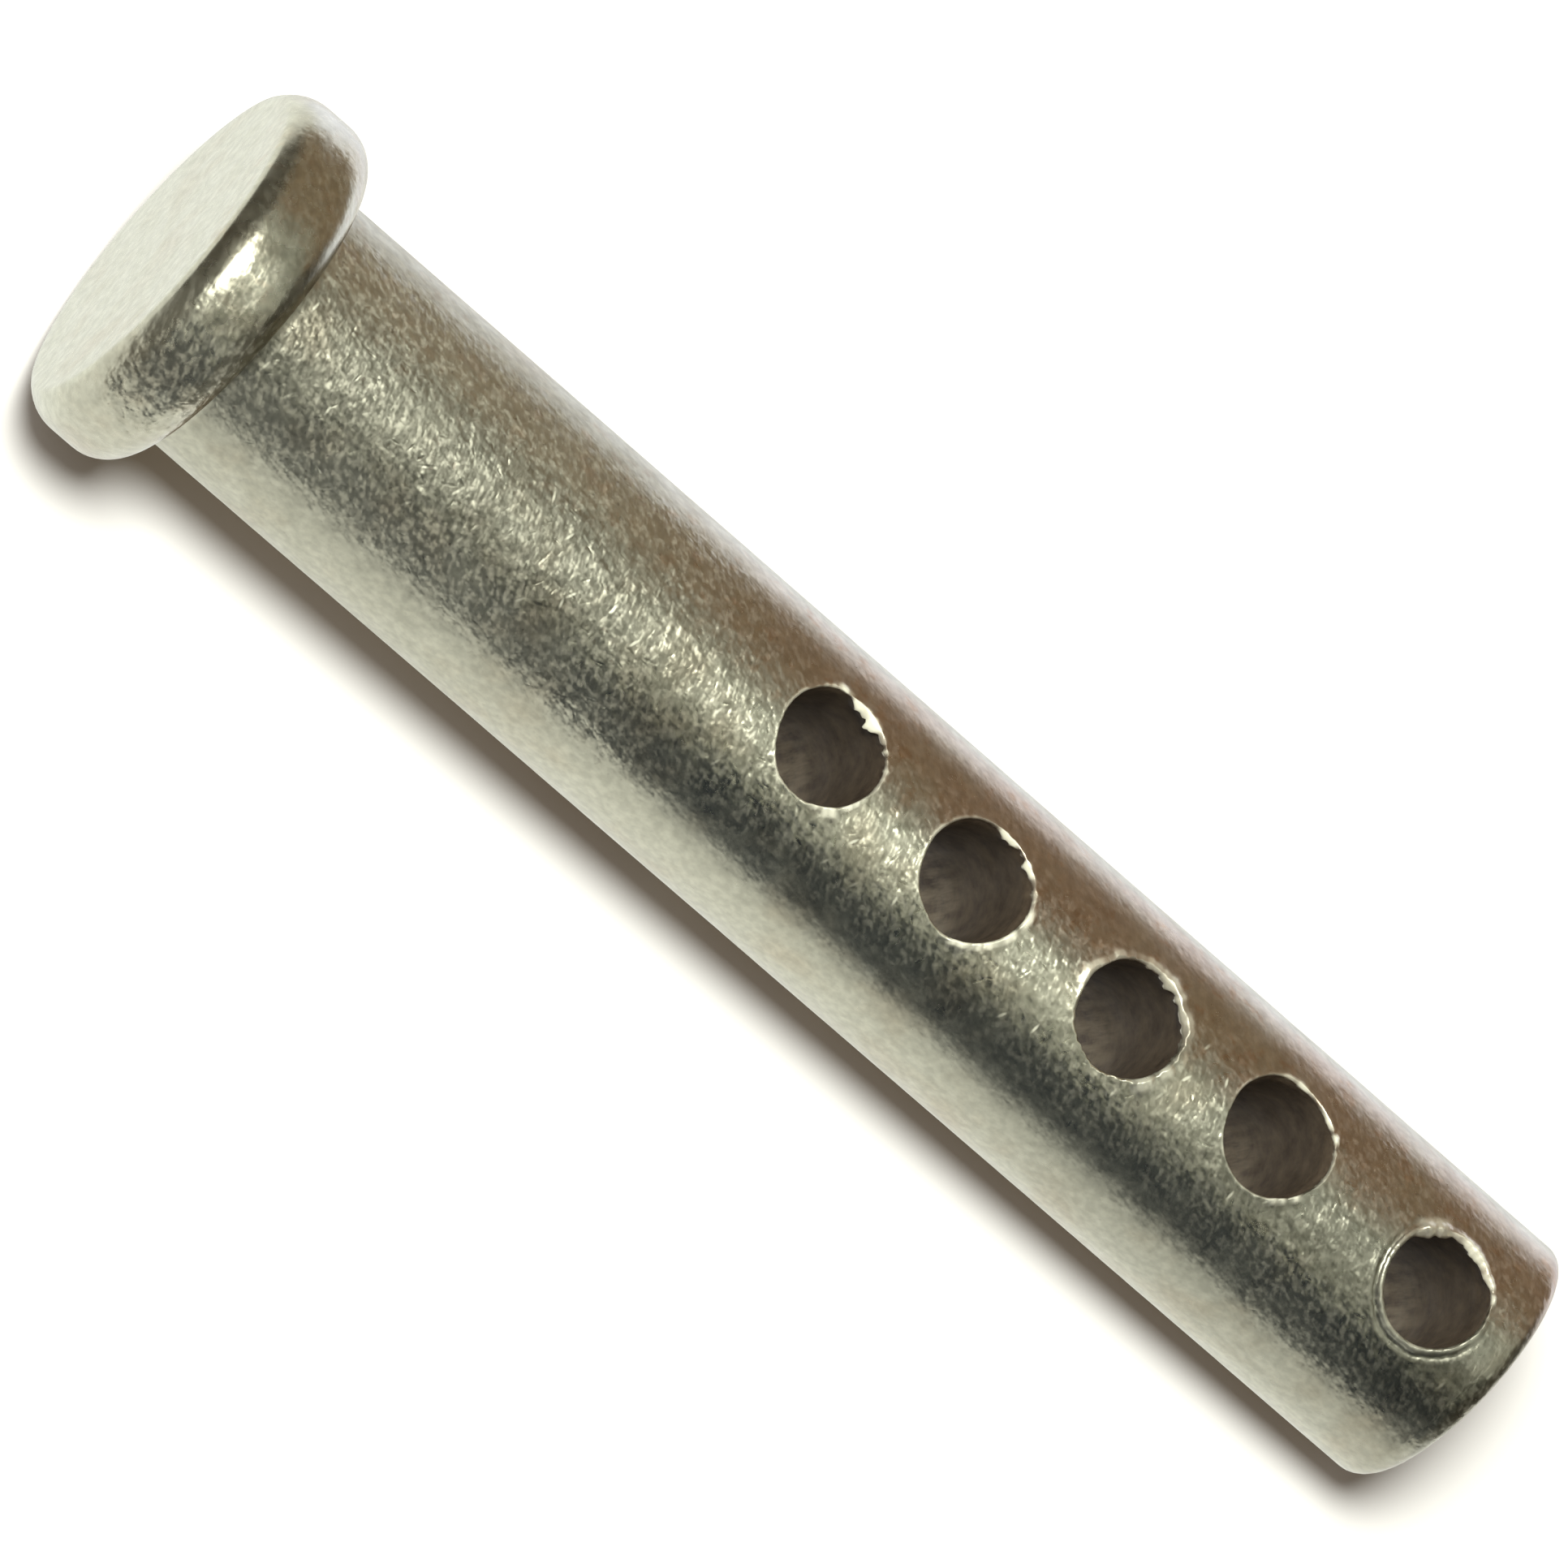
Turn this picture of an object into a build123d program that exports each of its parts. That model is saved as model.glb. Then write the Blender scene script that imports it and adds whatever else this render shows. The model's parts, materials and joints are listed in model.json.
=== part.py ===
# Adjustable clevis pin, 3/8 inch size: a headed steel pin with a row of cross holes for a cotter.
# It stands on its head. The flat face of the head lies on z = 0, the shank rises along +Z,
# and the cross holes run along Y.
import os

from build123d import *

# Shank
shank_diameter = 9.47
shank_length = 51.78  # from the underside of the head to the tip
tip_radius = 0.5  # tumbled corner at the tip
neck_radius = 0.2  # between the shank and the underside of the head

# Head: a disc with a flat face, a bulged rim and a flat ring under it
head_diameter = 12.88  # at the widest part of the rim
head_height = 3.35
seat_width = 0.745  # of the flat ring under the head, from the shank to the rim
face_inset = 0.6  # the edge of the flat face lies this far inside the rim
face_arc_height = 1.2  # the rim swells out over this height, from the face
seat_arc_height = 1.3  # and draws in again over this height, to the seat

# Cross holes, counted from the head to the tip
hole_diameter = 3.65
hole_pitch = 6.52
tip_distance = 3.86  # from the centre of the last hole to the tip
mouth_chamfer = 0.15  # broken edge round both mouths of each hole
# Where each hole was drilled: its drift along the pin, and its turn about the pin in degrees
hole_scatter = [(0.0, -2.1), (-0.26, 0.1), (-0.18, 1.4), (-0.56, -2.1), (0.0, 2.7)]

shank_radius = shank_diameter / 2
head_radius = head_diameter / 2
seat_radius = shank_radius + seat_width
pin_length = head_height + shank_length
last_hole_height = pin_length - tip_distance


def hole_place(index, drift, turn):
    """The place of one cross hole, on the pin's axis, with its own axis towards -Y"""
    height = last_hole_height - (len(hole_scatter) - 1 - index) * hole_pitch + drift
    return Location((0, 0, height), (90, turn, 0))


with BuildPart() as clevis_pin:
    # Half section of the headed blank, turned about Z
    with BuildSketch(Plane.XZ) as half_section:
        with BuildLine() as outline:
            face = Line((0, 0), (head_radius - face_inset, 0))
            rim = Line((head_radius, face_arc_height), (head_radius, head_height - seat_arc_height))
            TangentArc(rim @ 0, face @ 1, tangent=(0, -1))
            shoulder = TangentArc(rim @ 1, (seat_radius, head_height), tangent=(0, 1))
            Polyline(
                shoulder @ 1,
                (shank_radius, head_height),
                (shank_radius, pin_length),
                (0, pin_length),
                face @ 0,
            )
        make_face()
    revolve(axis=Axis.Z)

    shank_rings = clevis_pin.edges().filter_by(lambda edge: edge.geom_type == GeomType.CIRCLE
                                               and abs(edge.radius - shank_radius) < 1e-6)
    neck_ring, tip_ring = shank_rings.sort_by(Axis.Z)
    fillet(neck_ring, neck_radius)
    tip_ring = clevis_pin.edges().group_by(Axis.Z)[-1]
    fillet(tip_ring, tip_radius)

    # The cross holes go right through, and the broken edge of each mouth follows the round of the shank
    with Locations(*[hole_place(index, drift, turn) for index, (drift, turn) in enumerate(hole_scatter)]):
        Hole(hole_diameter / 2)
    mouths = clevis_pin.edges(Select.LAST).filter_by(GeomType.LINE, reverse=True)
    chamfer(mouths, mouth_chamfer)

clevis_pin.part.label = "clevis_pin"
os.makedirs("parts", exist_ok=True)
export_step(clevis_pin.part, "parts/clevis_pin.step")
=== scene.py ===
import json
import math

import bpy
import numpy as np
from mathutils import Matrix, Vector


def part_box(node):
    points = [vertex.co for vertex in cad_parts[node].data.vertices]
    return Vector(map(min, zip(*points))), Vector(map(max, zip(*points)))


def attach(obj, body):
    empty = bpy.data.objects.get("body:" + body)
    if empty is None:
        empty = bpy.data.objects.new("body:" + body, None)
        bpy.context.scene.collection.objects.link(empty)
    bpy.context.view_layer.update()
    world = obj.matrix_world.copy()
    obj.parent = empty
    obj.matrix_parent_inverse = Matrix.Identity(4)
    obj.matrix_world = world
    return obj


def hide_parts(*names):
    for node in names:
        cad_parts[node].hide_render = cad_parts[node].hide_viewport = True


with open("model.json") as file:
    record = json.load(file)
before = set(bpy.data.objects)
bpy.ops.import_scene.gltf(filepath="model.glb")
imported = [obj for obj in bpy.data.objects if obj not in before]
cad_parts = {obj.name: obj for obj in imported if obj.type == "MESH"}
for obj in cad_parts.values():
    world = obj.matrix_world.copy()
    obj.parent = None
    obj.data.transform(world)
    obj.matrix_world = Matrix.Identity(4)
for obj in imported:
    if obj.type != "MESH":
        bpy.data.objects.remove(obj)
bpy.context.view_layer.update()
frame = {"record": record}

bpy.context.scene.view_settings.view_transform = "Standard"
mm = 0.001
turn = 2 * math.pi

mounts = {mount["name"]: mount for mount in frame["record"]["mounts"]}
lowCorner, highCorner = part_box("clevis_pin")
headRadius = (highCorner.x - lowCorner.x) / 2 / mm
pinTop = highCorner.z / mm
shankRadius = mounts["shank"]["dims"]["r_mm"]
headHeight = mounts["head_seat"]["pos_m"][2] / mm
holeNames = sorted(name for name in mounts if name.startswith("cotter_hole"))
print("sizes read: head radius", round(headRadius, 3), "shank radius", shankRadius, "holes", len(holeNames))


# A smooth step: 0 below start, 1 above end, and 3t^2 - 2t^3 between them.
def smoothStep(start, end, value):
    t = np.clip((value - start) / (end - start), 0.0, 1.0)
    return t * t * (3 - 2 * t)


# A hump: e to minus the square of the distance from its middle over its width.
def hump(value, middle, width):
    return np.exp(-((value - middle) / width) ** 2)


# The signed difference between two angles, brought into -pi..pi.
def angleGap(a, b):
    return np.mod(a - b + math.pi, turn) - math.pi


# 1 near a bearing and 0 away from it: e to minus the fourth power of the gap over a half span, in degrees.
def spanMask(bearing, centre, span):
    return np.exp(-(angleGap(bearing, math.radians(centre)) / math.radians(span)) ** 4)


# Direction of an azimuth and elevation: azimuth 0 is -Y and turns towards +X, elevation is above the horizon.
def bearingVector(azimuth, elevation):
    a, e = math.radians(azimuth), math.radians(elevation)
    return Vector((math.sin(a) * math.cos(e), -math.cos(a) * math.cos(e), math.sin(e)))


# A closed wobble round a circle: a sum of cosines with random sizes and phases, scaled to a spread of 1.
def ringNoise(angle, seed, lowest, highest, falloff):
    rng = np.random.default_rng(seed)
    waves = np.arange(lowest, highest + 1)
    sizes = rng.normal(size=waves.size) * waves ** -falloff
    phases = rng.uniform(0, turn, waves.size)
    total = (sizes[:, None] * np.cos(waves[:, None] * angle[None, :] + phases[:, None])).sum(0)
    return total / math.sqrt(0.5 * (sizes ** 2).sum())


# Reads a tiling map at any places: a weighted mean of the four nearest cells.
def readMap(heightMap, stepU, stepV, u, v):
    rows, cols = heightMap.shape
    a, b = np.mod(v / stepV, rows), np.mod(u / stepU, cols)
    i, j = np.floor(a).astype(int) % rows, np.floor(b).astype(int) % cols
    s, t = a - np.floor(a), b - np.floor(b)
    i2, j2 = (i + 1) % rows, (j + 1) % cols
    near = heightMap[i, j] * (1 - t) + heightMap[i, j2] * t
    far = heightMap[i2, j] * (1 - t) + heightMap[i2, j2] * t
    return near * (1 - s) + far * s


# The corners of every cell of a grid that closes on itself sideways, in order round the cell.
def cellCorners(grid):
    beside = np.roll(grid, -1, axis=1)
    return np.stack([grid[:-1], beside[:-1], beside[1:], grid[1:]], -1)


# An object for a mesh, a lamp or a camera, put in the scene.
def placed(name, data):
    thing = bpy.data.objects.new(name, data)
    bpy.context.collection.objects.link(thing)
    return thing


pin = {
    "faceInset": 0.6,         # edge of the flat face, inside the rim
    "faceArcHeight": 1.2,     # the rim swells out over this height
    "seatArcHeight": 1.3,     # and draws in over this one
    "seatWidth": 0.745,       # flat ring under the head
    "neckRadius": 0.2,
    "neckRun": 0.5,           # length of shank worked out past the neck
    "neckKept": 0.2,          # and how much of it stays in the head's section
    "cornerEase": 0.07,       # how far sharp turned corners are worn round
    "sectionSamples": 1600,   # points worked out along the head's section
    "arcSamples": 200,
    "headStep": 0.17,         # spacing of rows over the head
    "faceStretch": 1.6,       # how much wider they stand on the flat face
    "faceEase": 0.5,          # and how far inside its edge they start to
    "tipCorner": 0.63,        # mean corner radius at the tip
    "tipCornerSpread": 0.17,  # the corner is larger by this on the low side of the tip
    "tipSlant": 0.0384,       # rise of the sheared tip across the pin, as a slope
    "tipHighSide": -111.0,    # bearing of its high side, in degrees from -Y towards +X
    "tipCornerRows": 8,
    "tipRings": 19,           # rows over the tip's flat end
    "windowHalf": 0.686,      # half width of the strip that holds the holes, in radians
    "windowCells": 36,
    "sideCells": 44,
    "shankStep": 0.19,        # spacing of rows along the plain shank
    "firstWindow": 3.2,       # the holes' windows start this far below the first hole's middle
    "lastWindow": 1.2,        # and end this far below the tip
    "seamBearing": -100,      # where the seam of the mark map runs, in degrees
    "endShift": 90,           # the flat ends' marks lie this far to one side of the shank's in that map
}

# What tumbling does to the shape, in millimetres.
tumbling = {
    "mapLength": 64.0,
    "mapStep": 0.1,
    "mapSeed": 7,
    "dents": [(0.005, 0.75, 0.05), (0.004, 0.45, 0.25), (0.004, 0.28, 0.9)],  # (depth, size, hits per mm2)
    "nick": (0.005, 0.55, 0.2, 0.05),  # depth, length, width, and hits per mm2 in each direction
    "nickDirections": 8,
    "nickTurn": 0.2,          # the first direction, in radians
    "raisedEdge": 0.55,       # how far the edge of a dent is pushed up, as a share of its depth
    "waveLength": 4.0,
    "waveHeight": 0.003,
    "headBlend": (0.4, -0.2),  # heights past the head over which marks start to follow its section
    "calmMiddle": (0.3, 3.5),  # marks fade in over these distances from the axis
    "boreEdge": (0.05, 0.2),  # a wall starts over these values of the bore mask
    "calmBore": 0.8,          # share of the marks lost there
    "tipBand": 0.5,           # length of the tip
    "calmTip": 0.5,           # share left on it
    "faceBand": (0.5, 0.1),   # the face starts over these heights
    "calmFace": 0.6,          # share lost there
    "calmSides": 0.45,        # share left away from the worn side
    "wornEdge": (0.70, 0.95),  # edges of that side, as cosines of the turn from its bearing
}

# What every mouth has unless its own entry says otherwise.
plainMouth = {"lip": 0.020, "groove": 0.0, "dull": (0, 1, 0.0)}

# One entry a hole, in millimetres and degrees; bearings run round the mouth from +X towards +Z. radius: of the
# mouth. bevel: width of its worn edge. lip: how high the edge stands. ragged: how uneven all this is. shine:
# how bare and bright the torn metal is, its pale colour partly a painted highlight. groove: depth of a ring
# rolled
# in round the far side. ledges: metal folded in over the bore, as (bearing, half span, width). burrs: metal
# pushed up outside it, as (bearing, half span, height, reach). dull: torn metal that has lost its shine, as
# (bearing, half span, share).
holeMouths = [
    {"radius": 1.92, "bevel": 0.05, "ragged": 0.48, "shine": 1.0, "ledges": [(158, 31, 0.23)],
     "burrs": [(34, 8, 0.05, 0.30), (22, 6, 0.05, 0.10), (60, 12, 0.03, 0.12), (196, 9, 0.04, 0.16)]},
    {"radius": 1.99, "bevel": 0.06, "ragged": 0.30, "shine": 0.9, "ledges": [(163, 33, 0.13)],
     "burrs": [(45, 14, 0.06, 0.20), (68, 8, 0.06, 0.18), (92, 10, 0.05, 0.16), (22, 10, 0.04, 0.14)]},
    {"radius": 1.94, "bevel": 0.09, "ragged": 0.45, "shine": 0.45, "ledges": [(155, 42, 0.13)],
     "burrs": [(160, 50, 0.05, 0.22), (50, 9, 0.07, 0.30), (72, 7, 0.06, 0.26), (250, 34, 0.04, 0.22)]},
    {"radius": 1.97, "bevel": 0.05, "ragged": 0.15, "shine": 0.9, "ledges": [(162, 38, 0.07)],
     "burrs": [(36, 7, 0.08, 0.16), (52, 6, 0.08, 0.16), (126, 5, 0.06, 0.12)]},
    {"radius": 1.90, "bevel": 0.06, "ragged": 0.20, "shine": 0.72, "lip": 0.045, "groove": 0.07,
     "dull": (219, 28, 0.5), "ledges": [(163, 33, 0.17), (219, 22, 0.22)],
     "burrs": [(218, 16, 0.12, 0.34), (165, 26, 0.05, 0.12), (134, 8, 0.06, 0.12), (118, 6, 0.05, 0.10)]},
]

# The same at every mouth, in millimetres and degrees.
mouthEdge = {
    "lipSide": 160,           # bearing at which the lip stands highest
    "lipReach": 0.10,         # it dies away over this distance
    "shineReach": 0.04,       # and so does the bare line along it, over this one
    "burrShine": 1.15,
    "ringSide": 140,          # the rolled ring is deepest opposite this bearing
    "ring": [(1.0, 0.07, 0.06), (-0.9, 0.22, 0.07), (0.35, 0.40, 0.08)],  # its humps, as (height, middle, width)
    "ringShine": (5, 0.07, 0.07),  # how bare its inner hump is: share for a millimetre of groove, middle, width
    "waves": [(14, 48, 0.2), (2, 12, 0.7), (5, 17, 0.3)],  # fine, coarse and jagged: waves round it, and falloff
    "slope": 0.85,            # fall of the bevel and of a ledge, for each millimetre of their width
    "strip": 0.75,            # greatest width of the strip of fine rows outside the bevel
    "stripRows": 11,
    "slideRows": 7,
    "bevelRows": (0.15, 0.4, 0.7, 1.0),
    "boreDepths": (0.03, 0.07, 0.14, 0.24, 0.36, 0.52, 0.75, 1.1, 1.7, 2.6),
    "boreMiddle": 4.6,        # depth at which the bore's mask reaches 0.5
    "wallMask": 0.015,        # rows above this value of the mask are on the wall
}


# The head's half section as (radius, height): face, rim arc, rim, seat arc, seat and neck, each an arc or a
# line, then every sharp corner eased by a running mean along the section.
def headSection():
    neck, inset = pin["neckRadius"], pin["faceInset"]
    swell, drawIn = pin["faceArcHeight"], pin["seatArcHeight"]
    facePoint = headRadius - inset
    seatIn = headRadius - (shankRadius + pin["seatWidth"])
    faceArc = (inset ** 2 + swell ** 2) / (2 * inset)
    seatArc = (seatIn ** 2 + drawIn ** 2) / (2 * seatIn)

    # An arc as points: its centre plus its radius along each angle from start to end
    def arc(across, up, radius, start, end):
        swing = np.linspace(start, end, pin["arcSamples"])
        return np.column_stack([across + radius * np.cos(swing), up + radius * np.sin(swing)])

    line = np.vstack([
        np.column_stack([np.linspace(0, facePoint, 400), np.zeros(400)]),
        arc(headRadius - faceArc, swell, faceArc, -math.asin(swell / faceArc), 0),
        arc(headRadius - seatArc, headHeight - drawIn, seatArc, 0, math.asin(drawIn / seatArc)),
        arc(shankRadius + neck, headHeight + neck, neck, -math.pi / 2, -math.pi),
        np.array([[shankRadius, headHeight + neck + pin["neckRun"]]]),
    ])
    travel = np.concatenate([[0], np.cumsum(np.hypot(*np.diff(line, axis=0).T))])
    fine = np.linspace(0, travel[-1], pin["sectionSamples"])
    dense = np.column_stack([np.interp(fine, travel, line[:, k]) for k in (0, 1)])
    half = max(1, int(pin["cornerEase"] / (fine[1] - fine[0])))
    window = np.hanning(2 * half + 3)[1:-1]
    window /= window.sum()
    padded = np.pad(dense, ((half, half), (0, 0)), mode="reflect", reflect_type="odd")
    eased = np.column_stack([np.convolve(padded[:, k], window, mode="valid") for k in (0, 1)])
    keep = eased[:, 1] < headHeight + neck + pin["neckKept"]
    eased, fine = eased[keep], fine[keep]
    eased[0] = (0, 0)
    # Rows stand close together where the section turns, and further apart on the flat face
    flat = np.clip(1 - eased[:, 0] / (facePoint - pin["faceEase"]), 0, 1)
    weight = 1 / (pin["headStep"] * (1 + pin["faceStretch"] * np.sqrt(flat)))
    count = np.concatenate([[0], np.cumsum(0.5 * (weight[1:] + weight[:-1]) * np.diff(fine))])
    rows = np.linspace(0, count[-1], int(round(count[-1])) + 1)
    return np.column_stack([np.interp(rows, count, eased[:, k]) for k in (0, 1)])


# Heights of the rows along the shank: even steps up to the first hole's window, then equal steps in each.
def shankRows(start, holeHeights):
    middles = (holeHeights[1:] + holeHeights[:-1]) / 2
    edges = np.concatenate([[holeHeights[0] - pin["firstWindow"]], middles, [pinTop - pin["lastWindow"]]])
    plain = np.linspace(start, edges[0], int(round((edges[0] - start) / pin["shankStep"])) + 1)
    cells = [np.linspace(low, high, pin["windowCells"] + 1)[1:] for low, high in zip(edges[:-1], edges[1:])]
    return np.concatenate([plain[1:]] + cells), len(plain) - 1


# A map of the marks that tumbling leaves, in millimetres of height over (arc, height): random strikes
# convolved with a dent that has a raised edge, slanting nicks of the same kind, and a long gentle wave.
def strikeMap(width, length, step, seed):
    cols, rows = int(round(width / step)), int(round(length / step))
    rng = np.random.default_rng(seed)
    # Distances from the map's first corner, the short way round
    u, v = np.meshgrid(np.fft.fftfreq(cols) * width, np.fft.fftfreq(rows) * length)
    total = np.zeros((rows, cols))

    # Strikes of one kind: the dent, a hump turned over with its edge raised, laid at random places
    def strike(depth, along, across, perMm2, angle):
        x = u * math.cos(angle) + v * math.sin(angle)
        y = -u * math.sin(angle) + v * math.cos(angle)
        far = (x / along) ** 2 + (y / across) ** 2
        dent = -(1 - tumbling["raisedEdge"] * far) * np.exp(-far)
        hits = (rng.random((rows, cols)) < perMm2 * step * step) * rng.gamma(2.0, 0.5, (rows, cols))
        return depth * np.fft.irfft2(np.fft.rfft2(hits) * np.fft.rfft2(dent), s=total.shape)

    for depth, size, perMm2 in tumbling["dents"]:
        total += strike(depth, size, size, perMm2, 0.0)
    for angle in np.linspace(0, math.pi, tumbling["nickDirections"], endpoint=False):
        total += strike(*tumbling["nick"], angle + tumbling["nickTurn"])
    waves = np.fft.rfft2(rng.normal(size=total.shape))
    fu = np.fft.rfftfreq(cols, width / cols)[None, :] * tumbling["waveLength"]
    fv = np.fft.fftfreq(rows, length / rows)[:, None] * tumbling["waveLength"]
    longWave = np.fft.irfft2(waves * np.exp(-(fu ** 2 + fv ** 2)), s=total.shape)
    return total + tumbling["waveHeight"] * longWave / longWave.std()


# How high the surface stands round one mouth, at a distance outside the bevel: a lip that dies away, each
# burr a bump over its own span of bearings, and a rolled ring with a groove outside it on the far side. With
# it comes how bright the metal is there: 1 on the edge and on a burr, 0 where the surface is untouched; this
# mask paints the torn edges pale, partly bare metal and partly a painted highlight.
def lipHeight(mouth, bearing, outside, noise):
    towards = np.cos(angleGap(bearing, math.radians(mouthEdge["lipSide"])) / 2) ** 2
    rise = mouth["lip"] * (0.5 + 0.5 * towards) * np.exp(-outside / mouthEdge["lipReach"])
    torn = np.clip(0.20 + 0.30 * noise, 0.03, 0.7) * mouth["shine"]
    bright = torn * hump(outside, 0, mouthEdge["shineReach"])
    burrShine = min(1.0, mouthEdge["burrShine"] * mouth["shine"]) * np.clip(1.0 + 0.6 * noise, 0.4, 1.0)
    for centre, span, tall, reach in mouth["burrs"]:
        near = spanMask(bearing, centre, span)
        rise = rise + tall * near * hump(outside, 0, reach)
        bright = np.maximum(bright, near * np.exp(-(1.1 * outside / reach) ** 6) * burrShine)
    rise = rise * np.clip(1 + 0.5 * noise, 0.1, 2.2)
    farSide = 0.5 - 0.5 * np.cos(angleGap(bearing, math.radians(mouthEdge["ringSide"])))
    ring = sum(tall * hump(outside, middle, width) for tall, middle, width in mouthEdge["ring"])
    share, middle, width = mouthEdge["ringShine"]
    groove = mouth["groove"] * farSide
    return rise + groove * ring, np.maximum(bright, groove * share * hump(outside, middle, width))


# One hole as a grid, columns round it and rows along it. Outside, rows run from the edge of its window in to
# the mouth, over the shank's round; then down the bevel and ledge, along the bore and out at the other side.
# Each row is its points, a mask of how deep in the bore they are and one of how bare the metal is, which paints
# it pale, partly as a painted highlight.
def holeGrid(name, mouth, number, edgeTheta, edgeHeight):
    mount = mounts[name]
    boreRadius, centre = mount["dims"]["r_mm"], mount["pos_m"][2] / mm
    axis = np.array(mount["axis"][:2])
    lean = math.atan2(axis[0], -axis[1])
    sideways = np.array([math.cos(lean), math.sin(lean)])
    bearing = np.arctan2(edgeHeight - centre, shankRadius * edgeTheta)
    still = np.zeros(bearing.size)
    slope, ragged = mouthEdge["slope"], mouth["ragged"]
    rows = []
    for back in (False, True):
        seed, outward = (10 * number + 5, -1) if back else (10 * number, 1)
        fine, coarse, jag = (ringNoise(bearing, seed + 1 + k, *mouthEdge["waves"][k]) for k in range(3))
        noise = 0.35 * fine + 0.7 * coarse
        bevel = mouth["bevel"] * np.clip(1 + ragged * (0.35 * fine + 0.8 * coarse), 0.25, 2.2)
        opening = mouth["radius"] - mouth["bevel"] + 0.003 * fine + 0.008 * coarse
        ledge = np.zeros(bearing.size)
        torn = np.clip(1 + ragged * (0.7 * jag + 0.45 * fine + 0.5 * coarse), 0.2, 1.7)
        for ledgeBearing, span, width in mouth["ledges"]:
            ledge = np.maximum(ledge, width * spanMask(bearing, ledgeBearing, span) * torn)
        gapAcross = shankRadius * angleGap(edgeTheta, lean * outward) - opening * np.cos(bearing)
        gapUp = (edgeHeight - centre) - opening * np.sin(bearing)
        room = np.clip(0.75 * np.hypot(gapAcross, gapUp) - bevel, 0.1, mouthEdge["strip"])

        # A point at a distance from the hole's axis, at a height over the shank, as (x, y, z)
        def onShank(reach, rise):
            across = reach * np.cos(bearing)
            depth = np.sqrt((shankRadius + rise) ** 2 - across ** 2) * outward
            flat = across[:, None] * sideways + depth[:, None] * axis
            return np.column_stack([flat, centre + reach * np.sin(bearing)])

        half = []
        for part in np.linspace(1, 0, mouthEdge["stripRows"]) ** 1.4:
            rise, bright = lipHeight(mouth, bearing, part * room, noise)
            half.append((onShank(opening + bevel + part * room, rise), still, bright))
        topRise, bright = lipHeight(mouth, bearing, still, noise)
        folded = smoothStep(0.02, 0.09, ledge) * np.clip(0.9 + 0.35 * jag, 0.35, 1.0)
        bright = np.maximum(bright, mouth["shine"] * folded)
        width = bevel + ledge
        for part in mouthEdge["bevelRows"]:
            fall = slope * width * part ** 1.4
            half.append((onShank(opening + bevel - width * part, topRise - fall), still, bright))
        clean = np.clip(mouth["bevel"] * (1 + 0.5 * fine), 0.03, 0.2)
        for depth in mouthEdge["boreDepths"]:
            ease = float(smoothStep(0, 0.5, depth))
            wall = onShank((opening - ledge) * (1 - ease) + boreRadius * ease, topRise - slope * width)
            wall[:, :2] -= axis * depth * outward
            dark = smoothStep(0.6, 1.4, depth / clean)
            # 0.5 is the middle of the bore; the mask runs from 0.2 at the front mouth to 0.8 at the back one
            inward = 0.5 - outward * (0.3 - 0.3 * smoothStep(0.0, mouthEdge["boreMiddle"], depth))
            half.append((wall, dark * inward, bright * (1 - dark)))
        # The outermost ring lies on the window's edge, and the next ones slide in from it to the mouth
        first = half[0][0]
        edge = np.mod(math.pi - edgeTheta if back else edgeTheta, turn)
        firstTheta = edge + angleGap(np.arctan2(first[:, 0], -first[:, 1]), edge)
        firstRise = np.hypot(first[:, 0], first[:, 1]) - shankRadius
        slide = []
        for part in np.linspace(0, 1, mouthEdge["slideRows"] + 2)[1:-1]:
            theta = edge * (1 - part) + firstTheta * part
            height = edgeHeight * (1 - part) + first[:, 2] * part
            radius = shankRadius + firstRise * part
            ring = np.column_stack([radius * np.sin(theta), -radius * np.cos(theta), height])
            slide.append((ring, still, still))
        rows += (slide + half)[::-1] if back else slide + half
    # One more row, half way through the bore, joins the two halves
    middle = len(rows) // 2
    rows.insert(middle, ((rows[middle - 1][0] + rows[middle][0]) / 2, still + 0.5, still))
    points, bore, lip = (np.array(part) for part in zip(*rows))
    dullBearing, dullSpan, dullShare = mouth["dull"]
    lip = lip * (1 - dullShare * spanMask(bearing, dullBearing, dullSpan))
    return points, bore, lip, np.unwrap(bearing) * boreRadius


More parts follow.
